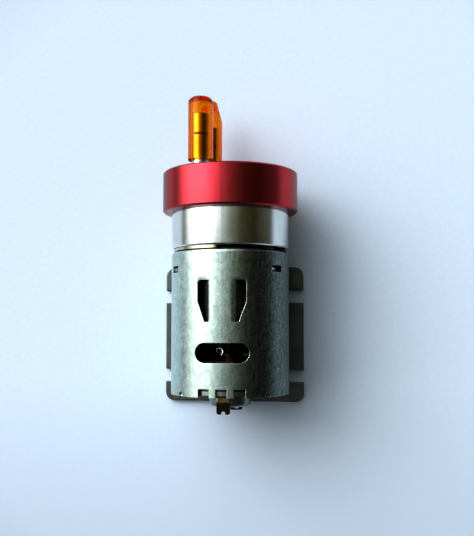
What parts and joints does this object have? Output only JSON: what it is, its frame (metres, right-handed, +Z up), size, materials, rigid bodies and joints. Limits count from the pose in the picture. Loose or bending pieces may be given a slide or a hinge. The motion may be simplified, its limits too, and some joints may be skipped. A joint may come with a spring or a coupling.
{
  "type": "geared dc motor",
  "caption": "Brushed can motor with a planetary gearbox, a round collar with parallel soft-capped output shafts, and a slotted foot plate.",
  "frame": {"origin": "underside of the foot plate, directly below the motor axis at the plate's mid length", "axes": "+Y along the motor axis towards the output shafts, +Z up from the foot plate, +X to the right"},
  "size_m": [0.0354, 0.0768, 0.0322],
  "materials": {
    "gunmetal_steel": "dark steel sheet with rolled, slightly shinier edges",
    "zinc_steel": "dull zinc plate with a fine speckle",
    "sintered_bronze": "oil-filled sintered bronze, matte",
    "ferrite": "pressed ferrite, dark grey and matte",
    "spring_steel": "bright rolled spring steel",
    "black_nylon": "moulded black nylon",
    "tinned_bronze": "phosphor bronze, blackened where it was soldered",
    "brush_copper": "rolled copper alloy strip",
    "brush_carbon": "pressed carbon",
    "ground_steel": "ground and polished steel",
    "lamination_steel": "stacked silicon steel sheets",
    "enamelled_copper": "wound copper wire under clear enamel",
    "insulation_fibre": "varnished fibre",
    "commutator_copper": "turned copper with a rubbed track",
    "phenolic": "moulded phenolic",
    "white_acetal": "moulded acetal",
    "gear_brass": "cut brass",
    "gear_steel": "cut and oiled steel",
    "black_fibre": "thin black fibre sheet",
    "pale_zinc": "yellow-passivated zinc on steel",
    "screw_steel": "blackened screw steel",
    "nickel_steel": "turned steel, nickel plated, nearly a mirror",
    "red_anodised": "satin red anodised aluminium",
    "amber_vinyl": "clear amber vinyl, glossy"
  },
  "bodies": {
    "housing": {"base_plate": "gunmetal_steel", "motor_saddle": "gunmetal_steel", "saddle_rivets": "spring_steel", "motor_can": "zinc_steel", "front_bush": "sintered_bronze", "magnet_right": "ferrite", "magnet_left": "ferrite", "magnet_spring": "spring_steel", "end_plate": "zinc_steel", "rear_bush": "sintered_bronze", "brush_holder": "black_nylon", "terminal_upper": "tinned_bronze", "terminal_lower": "tinned_bronze", "brush_upper": "brush_carbon", "brush_lower": "brush_carbon", "brush_arm_upper": "brush_copper", "brush_arm_lower": "brush_copper", "adapter_gasket": "black_fibre", "adapter_plate": "pale_zinc", "adapter_screws": "screw_steel", "rear_thrust_washer": "spring_steel", "ring_gear_housing": "nickel_steel", "nose_housing": "red_anodised", "mid_plate": "spring_steel", "spacer_posts": "gear_brass", "nose_screws": "screw_steel", "output_bushes": "sintered_bronze", "centre_bush": "sintered_bronze", "output_washers": "spring_steel"},
    "rotor": {"rotor_shaft": "ground_steel", "rotor_core": "lamination_steel", "rotor_windings": "enamelled_copper", "rotor_insulators": "insulation_fibre", "commutator": "commutator_copper", "commutator_sleeve": "phenolic", "rotor_spacers": "white_acetal", "sun_pinion": "gear_brass"},
    "first_carrier": {"carrier_1": "gear_steel", "planet_pins_1": "ground_steel", "second_sun": "gear_steel"},
    "second_carrier": {"carrier_2": "gear_steel", "planet_pins_2": "ground_steel", "drive_shaft": "ground_steel", "drive_gear": "gear_brass"},
    "upper_output": {"output_gear_upper": "gear_steel", "output_shaft_upper": "ground_steel", "end_cap_upper": "amber_vinyl"},
    "lower_output": {"output_gear_lower": "gear_steel", "output_shaft_lower": "ground_steel", "end_cap_lower": "amber_vinyl"},
    "first_planet_1": {"planet_1_1": "white_acetal"},
    "second_planet_1": {"planet_2_1": "gear_steel"},
    "first_planet_2": {"planet_1_2": "white_acetal"},
    "second_planet_2": {"planet_2_2": "gear_steel"},
    "first_planet_3": {"planet_1_3": "white_acetal"},
    "second_planet_3": {"planet_2_3": "gear_steel"}
  },
  "joints": [
    {"name": "rotor_spin", "type": "hinge", "parent": "housing", "child": "rotor", "pos_m": [0, 0, 0.0162], "axis": [0, 1, 0], "continuous": true},
    {"name": "first_carrier_spin", "type": "hinge", "parent": "housing", "child": "first_carrier", "pos_m": [0, 0, 0.0162], "axis": [0, 1, 0], "continuous": true},
    {"name": "second_carrier_spin", "type": "hinge", "parent": "housing", "child": "second_carrier", "pos_m": [0, 0, 0.0162], "axis": [0, 1, 0], "continuous": true},
    {"name": "first_planet_1_spin", "type": "hinge", "parent": "first_carrier", "child": "first_planet_1", "pos_m": [0, 0, 0.0237], "axis": [0, 1, 0], "continuous": true},
    {"name": "second_planet_1_spin", "type": "hinge", "parent": "second_carrier", "child": "second_planet_1", "pos_m": [0, 0, 0.0237], "axis": [0, 1, 0], "continuous": true},
    {"name": "first_planet_2_spin", "type": "hinge", "parent": "first_carrier", "child": "first_planet_2", "pos_m": [-0.0065, 0, 0.01245], "axis": [0, 1, 0], "continuous": true},
    {"name": "second_planet_2_spin", "type": "hinge", "parent": "second_carrier", "child": "second_planet_2", "pos_m": [-0.0065, 0, 0.01245], "axis": [0, 1, 0], "continuous": true},
    {"name": "first_planet_3_spin", "type": "hinge", "parent": "first_carrier", "child": "first_planet_3", "pos_m": [0.0065, 0, 0.01245], "axis": [0, 1, 0], "continuous": true},
    {"name": "second_planet_3_spin", "type": "hinge", "parent": "second_carrier", "child": "second_planet_3", "pos_m": [0.0065, 0, 0.01245], "axis": [0, 1, 0], "continuous": true},
    {"name": "upper_output_spin", "type": "hinge", "parent": "housing", "child": "upper_output", "pos_m": [-0.006, 0, 0.02291], "axis": [0, 1, 0], "continuous": true},
    {"name": "lower_output_spin", "type": "hinge", "parent": "housing", "child": "lower_output", "pos_m": [-0.006, 0, 0.00949], "axis": [0, 1, 0], "continuous": true}
  ],
  "couplings": [
    {"joint": "first_carrier_spin", "follows": "rotor_spin", "ratio": 0.2},
    {"joint": "second_carrier_spin", "follows": "rotor_spin", "ratio": 0.04},
    {"joint": "first_planet_1_spin", "follows": "rotor_spin", "ratio": -0.53333},
    {"joint": "second_planet_1_spin", "follows": "rotor_spin", "ratio": -0.10667},
    {"joint": "first_planet_2_spin", "follows": "rotor_spin", "ratio": -0.53333},
    {"joint": "second_planet_2_spin", "follows": "rotor_spin", "ratio": -0.10667},
    {"joint": "first_planet_3_spin", "follows": "rotor_spin", "ratio": -0.53333},
    {"joint": "second_planet_3_spin", "follows": "rotor_spin", "ratio": -0.10667},
    {"joint": "upper_output_spin", "follows": "rotor_spin", "ratio": -0.05},
    {"joint": "lower_output_spin", "follows": "rotor_spin", "ratio": -0.05}
  ]
}
